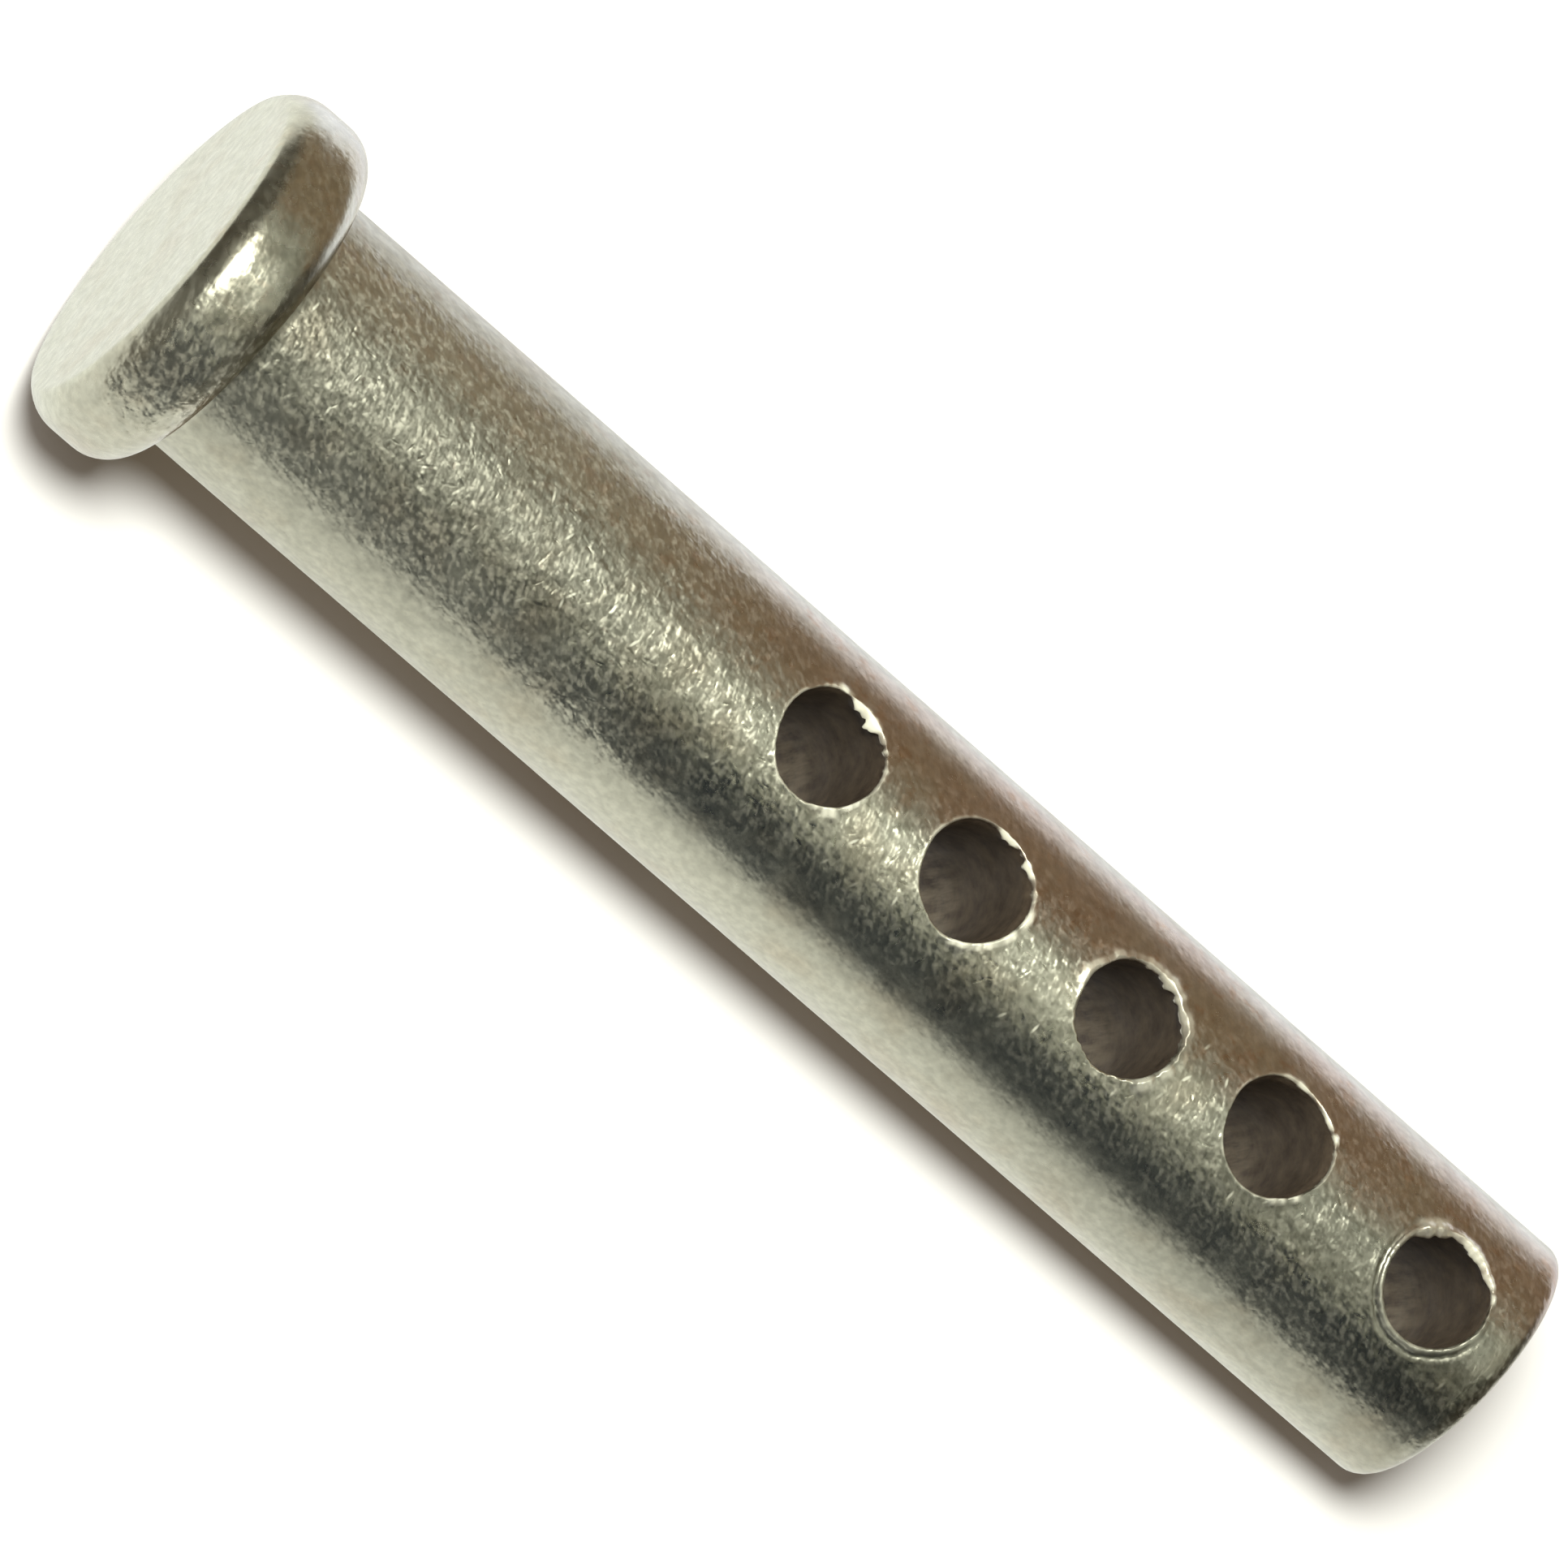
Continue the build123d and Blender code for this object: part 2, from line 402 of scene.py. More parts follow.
# The whole pin: one grid of revolution from the middle of the face to the middle of the tip, with windows
# left out where the holes are, and a hole's grid sewn to each pair of windows by its own vertices.
def makePin():
    holeHeights = np.array([mounts[name]["pos_m"][2] / mm for name in holeNames])
    section = headSection()
    heights, plainRows = shankRows(section[-1, 1], holeHeights)
    windowCells, sideCells, half = pin["windowCells"], pin["sideCells"], pin["windowHalf"]
    front = np.linspace(-half, half, windowCells + 1)
    theta = np.concatenate([front[:-1], np.linspace(half, math.pi - half, sideCells + 1)[:-1],
                            front[:-1] + math.pi, np.linspace(math.pi + half, turn - half, sideCells + 1)[:-1]])
    cols = theta.size
    towardHigh = np.cos(theta - math.radians(pin["tipHighSide"]))
    corner = pin["tipCorner"] - pin["tipCornerSpread"] * towardHigh
    tipMean = pinTop - pin["tipSlant"] * shankRadius

    # Height of the slanting tip at a radius
    def tipLevel(radius):
        return tipMean + pin["tipSlant"] * towardHigh * radius

    # Rows of (radius, height) at every bearing: the head, the shank, the tip's corner and the tip's face
    rows = [(r, z) for r, z in section] + [(shankRadius, z) for z in heights]
    cornerStart = tipLevel(shankRadius) - corner
    rows += [(shankRadius, heights[-1] + part * (cornerStart - heights[-1])) for part in (0.34, 0.67)]
    for swing in np.linspace(0, math.pi / 2, pin["tipCornerRows"]):
        inner = shankRadius - corner * (1 - math.cos(swing))
        rows.append((inner, tipLevel(inner) - corner * (1 - math.sin(swing))))
    edgeRadius = rows[-1][0]
    tipRadii = [edgeRadius * part for part in np.linspace(1, 0, pin["tipRings"] + 1)[1:]]
    rows += [(radius, tipLevel(radius)) for radius in tipRadii]
    radii, levels = (np.array([np.broadcast_to(row[k], cols) for row in rows]) for k in (0, 1))
    rowCount = radii.shape[0]
    points = np.stack([radii * np.sin(theta), -radii * np.cos(theta), levels], -1)
    index = np.arange(rowCount * cols).reshape(rowCount, cols)
    index[0, :], index[-1, :] = index[0, 0], index[-1, 0]

    # Travel along the section, so that marks keep their size over the head
    step = np.hypot(np.diff(radii.mean(1)), np.diff(levels.mean(1)))
    travel = np.concatenate([[0], np.cumsum(step)])
    travel += section[-1, 1] - travel[len(section) - 1]

    quads = cellCorners(index)
    thetaNext = np.append(theta[1:], theta[0] + turn)
    u = np.stack([theta, thetaNext, thetaNext, theta], -1) * shankRadius
    u = np.broadcast_to(u, quads.shape).copy()
    v = cellCorners(np.broadcast_to(travel[:, None], (rowCount, cols)))
    # Flat ends take a plain map, so that their marks don't gather at the middle
    flat = np.zeros((rowCount - 1, cols), bool)
    flat[:np.searchsorted(section[:, 0], headRadius - pin["faceInset"])] = True
    flat[-pin["tipRings"]:] = True
    flatPoints = points.reshape(-1, 3)[quads]
    u[flat], v[flat] = flatPoints[flat][..., 0] + pin["endShift"], flatPoints[flat][..., 1]

    firstRow = len(section) - 1 + plainRows
    windowRows = slice(firstRow, firstRow + windowCells * len(holeNames))
    backCol = windowCells + sideCells
    keep = np.ones((rowCount - 1, cols), bool)
    for firstCol in (0, backCol):
        keep[windowRows, firstCol:firstCol + windowCells] = False

    allPoints = [points.reshape(-1, 3)]
    allQuads, allU, allV = [quads[keep]], [u[keep]], [v[keep]]
    boreMask, lipMask = [np.zeros(rowCount * cols)], [np.zeros(rowCount * cols)]
    count = rowCount * cols
    for number, (name, ownMouth) in enumerate(zip(holeNames, holeMouths)):
        low, up = firstRow + number * windowCells, firstRow + (number + 1) * windowCells
        # Columns and rows round the window's edge
        c = np.concatenate([np.arange(windowCells), np.full(windowCells, windowCells),
                            np.arange(windowCells, 0, -1), np.zeros(windowCells, int)])
        r = np.concatenate([np.full(windowCells, low), np.arange(low, up),
                            np.full(windowCells, up), np.arange(up, low, -1)])
        backEdge = backCol + windowCells - c
        mouth = {**plainMouth, **ownMouth}
        grid, bore, lip, around = holeGrid(name, mouth, number + 1, front[c], levels[r, 0])
        inner = count + np.arange(bore.size).reshape(bore.shape)
        count += bore.size
        allPoints.append(grid.reshape(-1, 3))
        allQuads.append(cellCorners(np.vstack([index[r, c], inner, index[r, backEdge]])).reshape(-1, 4))
        boreMask.append(bore.ravel())
        lipMask.append(lip.ravel())
        # Outside the bore the marks follow the shank; inside, they follow the wall
        shell = np.vstack([points[r, c][None], grid, points[r, backEdge][None]])
        angle = cellCorners(np.arctan2(shell[..., 0], -shell[..., 1]))
        holeU = (angle[..., :1] + angleGap(angle, angle[..., :1])) * shankRadius
        holeV = cellCorners(shell[..., 2])
        insideRow = np.concatenate([[0], bore.max(1), [0]])
        inside = np.minimum(insideRow[:-1], insideRow[1:]) > mouthEdge["wallMask"]
        wallU = np.append(around, around[0] + turn * mounts[name]["dims"]["r_mm"])
        wallV = np.cumsum(np.concatenate([[0], np.linalg.norm(np.diff(shell, axis=0), axis=2).mean(1)]))
        holeU[inside] = np.stack([wallU[:-1], wallU[1:], wallU[1:], wallU[:-1]], -1)
        holeV[inside] = cellCorners(np.broadcast_to(wallV[:, None], shell.shape[:2]))[inside]
        allU.append(holeU.reshape(-1, 4))
        allV.append(holeV.reshape(-1, 4))

    # The mark map is cut along its seam, down one side of the pin
    quads, u, v = np.vstack(allQuads), np.vstack(allU), np.vstack(allV)
    around = turn * shankRadius
    shift = np.floor((u.mean(1) - math.radians(pin["seamBearing"]) * shankRadius) / around) * around
    u = np.where((u.max(1) < pin["endShift"] / 2)[:, None], u - shift[:, None], u)
    return np.vstack(allPoints), quads, u, v, np.concatenate(boreMask), np.concatenate(lipMask)


# Normals: the sum of the faces' own normals round each vertex, brought to length 1.
def vertexNormals(points, quads):
    diagonalA = points[quads[:, 2]] - points[quads[:, 0]]
    diagonalB = points[quads[:, 3]] - points[quads[:, 1]]
    faceNormal = np.cross(diagonalA, diagonalB)
    normals = np.zeros_like(points)
    for corner in range(4):
        for axis in range(3):
            normals[:, axis] += np.bincount(quads[:, corner], faceNormal[:, axis], len(points))
    return normals / np.maximum(np.linalg.norm(normals, axis=1), 1e-12)[:, None]


# Moves every vertex along its normal by the strike map times a share: less of it at the middle of the flat
# ends, in the bores, on the tip, on the face and away from the worn side.
def tumbled(points, quads, bore):
    around, step = turn * shankRadius, tumbling["mapStep"]
    marks = strikeMap(around, tumbling["mapLength"], step, tumbling["mapSeed"])
    arc = np.arctan2(points[:, 0], -points[:, 1]) * shankRadius
    radius, height = np.hypot(points[:, 0], points[:, 1]), points[:, 2]
    above, below = tumbling["headBlend"]
    onHead = smoothStep(headHeight + above, headHeight + below, height)
    level = height - onHead * (radius - shankRadius)
    depth = readMap(marks, around / int(round(around / step)), step, arc, level)
    towards = np.cos(arc / shankRadius - math.radians(steel["wornBearing"]))
    share = smoothStep(*tumbling["calmMiddle"], radius)
    share = share * (1 - tumbling["calmBore"] * smoothStep(*tumbling["boreEdge"], bore))
    share = share * np.where(height > pinTop - tumbling["tipBand"], tumbling["calmTip"], 1.0)
    share = share * (1 - tumbling["calmFace"] * smoothStep(*tumbling["faceBand"], height))
    calm = tumbling["calmSides"]
    share = share * (calm + (1 - calm) * smoothStep(*tumbling["wornEdge"], towards))
    points = points + vertexNormals(points, quads) * (depth * share)[:, None]
    points[:, 2] = np.clip(points[:, 2], 0.0, pinTop)
    return points


# Puts a grid into a mesh object: unused vertices dropped, flat quads at the poles made triangles, the surface
# tumbled, and the mark map and masks stored on it.
def pinObject():
    points, quads, u, v, bore, lip = makePin()
    used, flatIndex = np.unique(quads, return_inverse=True)
    quads = flatIndex.reshape(quads.shape)
    bore, lip = bore[used], lip[used]
    points = tumbled(points[used], quads, bore)

    # At a pole two corners are one vertex, and the second of them is left out
    same = (quads == np.roll(quads, -1, 1))
    hasPole = same.any(1)
    order = (same[hasPole].argmax(1)[:, None] + np.arange(1, 4)) % 4
    rowsOf = np.arange(order.shape[0])[:, None]
    uv = np.stack([u, v], -1)
    whole, triangles = quads[~hasPole], quads[hasPole][rowsOf, order]
    uv = np.vstack([uv[~hasPole].reshape(-1, 2), uv[hasPole][rowsOf, order].reshape(-1, 2)])

    mesh = bpy.data.meshes.new("clevisPinSurface")
    mesh.from_pydata((points * mm).tolist(), [], whole.tolist() + triangles.tolist(), shade_flat=False)
    markMap = mesh.uv_layers.new(name="markMap")
    markMap.data.foreach_set("uv", uv.astype(np.float32).ravel())
    # lip: how pale the torn edges are painted, partly a painted highlight; bore: how deep, which also places the
    # bores' painted shade and painted light
    for label, values in (("bore", bore), ("lip", lip)):
        mask = mesh.attributes.new(label, "FLOAT", "POINT")
        mask.data.foreach_set("value", values.astype(np.float32))
    mesh.validate()
    print("pin surface:", len(points), "vertices,", 2 * len(whole) + len(triangles), "triangles")
    return placed("clevisPinSurface", mesh)


# An empty node tree on a material or a world.
def emptyTree(owner):
    owner.use_nodes = True
    owner.node_tree.nodes.clear()
    return owner.node_tree


# Adds a node, sets its plain properties, then its inputs by name or number: a socket is linked, a colour's
# triple gets an alpha of 1, and anything else is set as it is.
def addNode(tree, kind, inputs=None, **settings):
    node = tree.nodes.new("ShaderNode" + kind)
    for key, value in settings.items():
        setattr(node, key, value)
    for key, value in (inputs or {}).items():
        socket = node.inputs[key]
        if isinstance(value, bpy.types.NodeSocket):
            tree.links.new(value, socket)
        elif socket.type == "RGBA":
            socket.default_value = (*value, 1.0)
        else:
            socket.default_value = value
    return node


# A math node; each value is a number or a socket.
def maths(tree, operation, *values, clamp=False):
    return addNode(tree, "Math", dict(enumerate(values)), operation=operation, use_clamp=clamp).outputs[0]


# The product of any number of values.
def product(tree, total, *others):
    for value in others:
        total = maths(tree, "MULTIPLY", total, value)
    return total


# A vector math node; each value is a triple or a socket, and a scale goes with SCALE only.
def vectorMath(tree, operation, *values, scale=None):
    inputs = dict(enumerate(values)) if scale is None else {0: values[0], "Scale": scale}
    return addNode(tree, "VectorMath", inputs, operation=operation).outputs[0]


# A value brought from one range into another, clamped, with a smooth or straight change.
def ranged(tree, value, fromLow, fromHigh, toLow, toHigh, smooth=False):
    inputs = dict(enumerate((value, fromLow, fromHigh, toLow, toHigh)))
    change = "SMOOTHSTEP" if smooth else "LINEAR"
    return addNode(tree, "MapRange", inputs, clamp=True, interpolation_type=change).outputs[0]


# A mask that rises smoothly from 0 at one value to 1 at another.
def maskOf(tree, value, low, high):
    return ranged(tree, value, low, high, 0.0, 1.0, smooth=True)


# A value mixed from one to another by a share in 0..1: first + share x (second - first).
def mixedValue(tree, share, first, second):
    return ranged(tree, share, 0.0, 1.0, first, second)


# A colour mix by a factor; each colour is a triple or a socket.
def mixed(tree, factor, first, second, blend="MIX"):
    return addNode(tree, "Mix", {0: factor, 6: first, 7: second}, data_type="RGBA", blend_type=blend,
                   clamp_factor=True).outputs[2]


# A noise node over a place, with its waves a millimetre, its octaves and how strong the finer ones are.
def noiseNode(tree, place, scale, detail, strength=0.5):
    return addNode(tree, "TexNoise", {"Vector": place, "Scale": scale, "Detail": detail, "Roughness": strength})


# A vector turned about Z by an angle, then stretched by a scale along each axis.
def turnedPlace(tree, place, angle, scale):
    turned = addNode(tree, "VectorRotate", {"Vector": place, "Angle": angle}, rotation_type="Z_AXIS")
    return vectorMath(tree, "MULTIPLY", turned.outputs[0], scale)


# A group with float and vector sockets, and its input and output nodes.
def newGroup(name, inputs, outputs):
    group = bpy.data.node_groups.new(name, "ShaderNodeTree")
    for side, sockets in (("INPUT", inputs), ("OUTPUT", outputs)):
        for label, kind in sockets.items():
            group.interface.new_socket(label, in_out=side, socket_type="NodeSocket" + kind)
    return group, group.nodes.new("NodeGroupInput").outputs, group.nodes.new("NodeGroupOutput").inputs


# Short nicks: each Voronoi cell holds one thin ellipse through its own point, turned by the cell's random
# colour; 1 along its middle and 0 outside it, fainter in some cells than in others.
def nickGroup():
    group, given, result = newGroup(
        "shortNicks", {"Place": "Vector", "Per mm": "Float", "Length": "Float", "Width": "Float",
                       "Shift": "Float", "Turn": "Float", "Spread": "Float"}, {"Mark": "Float"})
    scaled = vectorMath(group, "SCALE", given["Place"], scale=given["Per mm"])
    moved = vectorMath(group, "ADD", scaled, given["Shift"])
    cells = addNode(group, "TexVoronoi", {"Vector": moved, "Scale": 1.0, "Randomness": 0.85},
                    voronoi_dimensions="2D", feature="F1")
    local = vectorMath(group, "SUBTRACT", moved, cells.outputs["Position"])
    chance = addNode(group, "SeparateColor", {0: cells.outputs["Color"]}).outputs
    swing = product(group, maths(group, "SUBTRACT", chance[0], 0.5), given["Spread"])
    spun = addNode(group, "VectorRotate", {"Vector": local, "Angle": maths(group, "ADD", swing, given["Turn"])},
                   rotation_type="Z_AXIS")
    axes = addNode(group, "SeparateXYZ", {0: spun.outputs[0]}).outputs
    along = maths(group, "DIVIDE", axes[0], given["Length"])
    across = maths(group, "DIVIDE", axes[1], given["Width"])
    far = maths(group, "ADD", product(group, along, along), product(group, across, across))
    inside = maths(group, "SUBTRACT", 1.0, far, clamp=True)
    strength = ranged(group, chance[1], 0.25, 1.0, 0.0, 1.0)
    group.links.new(product(group, inside, inside, strength), result["Mark"])
    return group


# Each layer of grain: what it is laid over, waves a millimetre along x, y and z, turn in radians, height in
# millimetres. Over the mark map, x runs round the pin and y along it.
grainLayers = [
    ("Place", (4.2, 4.2, 4.2), 0.0, 0.018),
    ("Marks", (4.4, 1.8, 1.0), 0.25, 0.022),
    ("Marks", (2.0, 5.0, 1.0), -0.3, 0.022),
    ("Place", (1.5, 1.5, 1.5), 0.0, 0.030),
]
pitEdge = (0.31, 0.24)  # values of the first layer between which a pit starts


# Tumbled grain, in millimetres of height: noise drawn out along the pin, noise drawn out round it, and an even
# finer and a coarser one; the fine one also gives the pits.
def grainGroup():
    group, given, result = newGroup("tumbledGrain", {"Place": "Vector", "Marks": "Vector"},
                                    {"Height": "Float", "Pits": "Float"})
    total, layers = 0.0, []
    for source, scale, angle, height in grainLayers:
        layers.append(noiseNode(group, turnedPlace(group, given[source], angle, scale), 1.0, 1.0).outputs[0])
        total = maths(group, "ADD", total, product(group, layers[-1], height))
    group.links.new(total, result["Height"])
    group.links.new(maskOf(group, layers[0], *pitEdge), result["Pits"])
    return group


# Each layer of facets: what it is laid over, facets a millimetre along x, y and z, turn, and how far they tilt.
facetLayers = [
    ("Marks", (5.2, 2.4, 1.0), 0.35, 0.28),
    ("Marks", (2.6, 5.8, 1.0), -0.5, 0.28),
    ("Place", (7.0, 7.0, 7.0), 0.0, 0.24),
]
leafEdge = (-0.10, 0.20)              # how far the first layer stands over the second where a leaf starts
leafShare = (0.34, 0.62, 0.25, 1.0)   # values of the third layer, and the leaf's share there


# Small facets, each tilted its own way: the three channels of a colour noise, less one half, added over layers.
# Grain rises to 1 where the first layer stands over the second, in leaf shapes, some fainter by the third.
def facetGroup():
    group, given, result = newGroup("tumbledFacets", {"Place": "Vector", "Marks": "Vector"},
                                    {"Tilt": "Vector", "Grain": "Float"})
    total, layers = (0.0, 0.0, 0.0), []
    for source, scale, angle, tilt in facetLayers:
        noise = noiseNode(group, turnedPlace(group, given[source], angle, scale), 1.0, 1.0).outputs
        part = vectorMath(group, "MULTIPLY_ADD", noise["Color"], (tilt,) * 3, (-tilt / 2,) * 3)
        total = vectorMath(group, "ADD", total, part)
        layers.append(noise[0])
    group.links.new(total, result["Tilt"])
    over = maths(group, "SUBTRACT", layers[0], layers[1])
    leaves = product(group, maskOf(group, over, *leafEdge), ranged(group, layers[2], *leafShare))
    group.links.new(leaves, result["Grain"])
    return group


# Edges are cosines of the turn from a bearing, and ends are heights along the pin. A row of four numbers
# brings a noise, a mask or a height from its first two into its last two.
steel = {
    "clean": (0.62, 0.615, 0.485),
    "warm": (0.52, 0.45, 0.31),       # faint heat and oil stain
    "warmNoise": (0.45, 0.75, 0.0, 0.45),
    "speckleNoise": (0.35, 0.7, 0.86, 1.06),
    "pitColour": (0.20, 0.17, 0.13),
    "pitShare": 0.45,
    "rustTint": (0.59, 0.495, 0.385),
    "rust": (0.54, 0.38, 0.24),
    "rustBearing": -27.0,             # the side that took it
    "rustEdge": (0.84, 0.95),
    "rustEnds": (14.0, 27.0, 0.05, 1.0),
    "rustPatches": (0.35, 0.6, 0.55, 1.0),
    "rustSpecks": (0.54, 0.70, 0.0, 0.65),
    "specksAtHead": 0.35,
    "torn": (0.94, 0.95, 0.76),       # edges of the holes, bare and rough, and the painted glints: pale, partly a painted highlight on the edges
    "tornShare": 0.92,
    "tornMetallic": 0.15,
    "grimeAndShade": (0.205, 0.160, 0.110),   # old oil in the bores, partly painted shade: the walls past each mouth are darker
    "grimeAndShadeDark": (0.098, 0.073, 0.051),
    # lighter colour towards the far mouth: painted light coming in through it, over the grime
    "grimePaintedBackLight": (0.33, 0.275, 0.19),
    "grimeAndShadeEdge": (0.04, 0.18),        # it starts over these values of the bore mask
    "grimeAndShadeNoise": (0.3, 0.7, 0.0, 1.0),
    "paintedBackLightEdge": (0.42, 0.66),       # past the middle of the bore it is lighter, over these: painted light coming in through the far mouth
    "streakScale": (2.6, 0.45, 1.0),  # in streaks: waves a millimetre round the bore and down it
    "streakNoise": (0.40, 0.66, 0.0, 1.0),
    "grimeMetallic": 0.40,
    "grimeRoughness": 0.35,
    "roughness": 0.32,
    "headRoughness": 0.26,
    "dullRoughness": 0.42,            # of the shank beside the head, which tumbled longer
    "roughNoise": (0.3, 0.7, -0.05, 0.05),
    "dullEnds": (12.5, 22.5),         # the change from dull to bright
    "dullMetallic": 0.96,             # a thin dull film lies on the metal beside the head
    "dullGrain": (0.27, 0.20),        # and thicker in grains, beside the head and towards the tip
    "paintedGlints": (0.85, 0.24, 0.068, 11.3, 0.15, 1.0),  # bright strokes across the pin where the highlight falls: painted glints
    "paintedGlintNoise": (0.10, 0.75, 0.0, 1.0),
    "paintedGlintMetallic": 0.45,
    "paintedGlintEdge": (0.90, 0.965),
    "paintedGlintEnds": (40.0, 49.0, 1.0, 0.3),
    "nicks": [(1.1, 0.42, 0.085, 0.0), (1.9, 0.40, 0.11, 31.7)],  # a mm, length, width, shift (turn, spread)
    "nickHeight": 0.007,              # millimetres
    "nickShine": 0.10,
    "wornBearing": 12.0,              # the side that tumbling bit hardest
    "broadEdge": (0.55, 0.76),        # its edges beside the head
    "stripEdge": (0.78, 0.97),        # and its narrower edges towards the tip
    "grainEnds": (17.0, 25.0),        # the change from full grain to calm
    "tipEnds": (42.0, 49.0),          # where the grain spreads again
    "tipCalm": 0.45,
    "tipShare": 0.85,                 # share of the full grain that the strip keeps
    "tipFade": (6.5, 3.5, 1.0, 0.8),  # over these distances from the tip
    "faceFade": (0.0, 0.6, 0.25, 1.0),
    "grainPatches": (0.35, 0.65, 0.75, 1.1),
    "headShare": 1.12,                # share of the full grain beside the head
    "calmGrain": 0.25,                # and on every other side
    "headBlend": (-0.1, 0.4),         # heights past the head over which the shank's surface starts
    "headBearing": 50.0,              # the side of the head's rim that keeps its grain
    "headEdge": (0.80, 0.96),
    "calmHead": 0.28,
    "rimGrain": 0.85,
    "rimMetallic": 0.935,
    "rimRoughness": 0.30,
}

# Its noises: waves a millimetre, octaves of detail, and how strong the finer ones are.
steelNoises = {
    "patches": (0.3, 2.0, 0.5),
    "stain": (0.35, 3.0, 0.6),
    "rust": (1.3, 3.0, 0.6),
    "speckle": (3.2, 2.0, 0.5),
    "grimeAndShade": (1.4, 3.0, 0.65),
    "rough": (1.1, 3.0, 0.5),
    "streaks": (1.0, 3.0, 0.6),
}

# Each dull film: the bearing of its middle, its edges, the heights over which it comes in, and how much of the
# metal's colour it takes. Where that is below 0 the metal is made brighter. The films lie along the bands where
# the highlight and the reflections fall and set how bright these show there: partly tarnish and bare metal,
# partly painted highlight and painted shade.
tarnishAndPaintedSheen = [
    (12.0, (0.88, 0.98), (22.5, 13.5), 0.33),
    (15.0, (0.955, 0.995), (19.0, 28.0), -0.34),
    (15.0, (0.955, 0.995), (37.0, 46.0), 0.42),
    (68.0, (0.90, 0.985), (28.0, 45.0), 0.20),
    (33.0, (0.94, 0.99), (49.0, 52.5), 0.38),
]


# The cosine of the turn from a bearing, at a radius: the place's dot product with the bearing over the radius.
def cosineFrom(tree, place, bearing, radius):
    towards = bearingVector(bearing, 0) / radius
    return addNode(tree, "VectorMath", {0: place, 1: towards}, operation="DOT_PRODUCT").outputs["Value"]


# One of the steel's noises, by name.
def steelNoise(tree, place, name):
    return noiseNode(tree, place, *steelNoises[name]).outputs[0]


# Share of the full grain: its side, broad beside the head and narrow towards the tip, times patches and fades
# at the face and the tip. The head is rubbed smooth but for one side of its rim.
def grainShare(tree, at):
    height = at["height"]
    towardsTip = product(tree, maskOf(tree, height, *steel["grainEnds"]),
                         ranged(tree, height, *steel["tipEnds"], 1.0, steel["tipCalm"], smooth=True))
    strip = product(tree, maskOf(tree, at["worn"], *steel["stripEdge"]), steel["tipShare"])
    side = mixedValue(tree, towardsTip, maskOf(tree, at["worn"], *steel["broadEdge"]), strip)
    tipStart, tipEnd, *tipShares = steel["tipFade"]
    onHead = mixedValue(tree, at["onRim"], steel["calmHead"], steel["rimGrain"])
    return product(tree, mixedValue(tree, side, steel["calmGrain"], 1.0),
                   ranged(tree, height, *steel["dullEnds"], steel["headShare"], 1.0),
                   ranged(tree, at["patches"], *steel["grainPatches"], smooth=True),
                   ranged(tree, height, *steel["faceFade"], smooth=True),
                   ranged(tree, height, pinTop - tipStart, pinTop - tipEnd, *tipShares),
                   mixedValue(tree, at["onShank"], onHead, 1.0))


# Colour: clean steel with stain, an even tint of rust down one side and specks of it beside the head, dull films
# that are partly painted highlight and painted shade, pits, painted glints, torn edges whose pale colour is
# partly a painted highlight, and grime with painted shade in the bores, lighter near the far mouth with painted
# light, each mixed over the last by its own mask.
def steelColour(tree, at):
    place, height = at["place"], at["height"]
    stain = ranged(tree, steelNoise(tree, place, "stain"), *steel["warmNoise"], smooth=True)
    rusty = maskOf(tree, cosineFrom(tree, place, steel["rustBearing"], shankRadius), *steel["rustEdge"])
    even = product(tree, rusty, ranged(tree, height, *steel["rustEnds"], smooth=True),
                   ranged(tree, at["patches"], *steel["rustPatches"]))
    specks = product(tree, rusty,
                     ranged(tree, steelNoise(tree, place, "rust"), *steel["rustSpecks"], smooth=True),
                     ranged(tree, height, *steel["dullEnds"], steel["specksAtHead"], 1.0))
    speckle = ranged(tree, steelNoise(tree, place, "speckle"), *steel["speckleNoise"])
    colour = mixed(tree, stain, steel["clean"], steel["warm"])
    colour = mixed(tree, even, colour, steel["rustTint"])
    colour = mixed(tree, specks, colour, steel["rust"])
    colour = mixed(tree, 1.0, colour, speckle, "MULTIPLY")
    # Dull films and brighter strips along the reflection bands: partly tarnish, partly painted highlight and
    # painted shade
    for bearing, edge, ends, loss in tarnishAndPaintedSheen:
        filmAndSheen = product(tree, maskOf(tree, cosineFrom(tree, place, bearing, shankRadius), *edge), at["onShank"],
                       ranged(tree, height, *ends, 0.0, loss, smooth=True))
        colour = mixed(tree, 1.0, colour, maths(tree, "SUBTRACT", 1.0, filmAndSheen), "MULTIPLY")
    colour = mixed(tree, product(tree, at["pits"], steel["pitShare"], at["grain"]), colour, steel["pitColour"])
    # Painted glints, in the torn edges' pale colour
    colour = mixed(tree, at["paintedGlint"], colour, steel["torn"])
    # Torn edges of the holes, pale: partly bare metal, partly a painted highlight
    colour = mixed(tree, product(tree, at["lip"], steel["tornShare"]), colour, steel["torn"])
    # Bores: dark brown past a clean band at each mouth, partly grime and partly painted shade
    lighter = ranged(tree, steelNoise(tree, place, "grimeAndShade"), *steel["grimeAndShadeNoise"])
    grimeAndShade = mixed(tree, lighter, steel["grimeAndShadeDark"], steel["grimeAndShade"])
    streaks = steelNoise(tree, vectorMath(tree, "MULTIPLY", at["markMap"], steel["streakScale"]), "streaks")
    # Past the middle of the bore the wall is lighter in streaks: painted light coming in through the far mouth
    paintedBackLight = product(tree, maskOf(tree, at["bore"], *steel["paintedBackLightEdge"]),
                     ranged(tree, streaks, *steel["streakNoise"]))
    grimeAndShade = mixed(tree, paintedBackLight, grimeAndShade, steel["grimePaintedBackLight"])
    return mixed(tree, at["dirtAndShade"], colour, grimeAndShade)


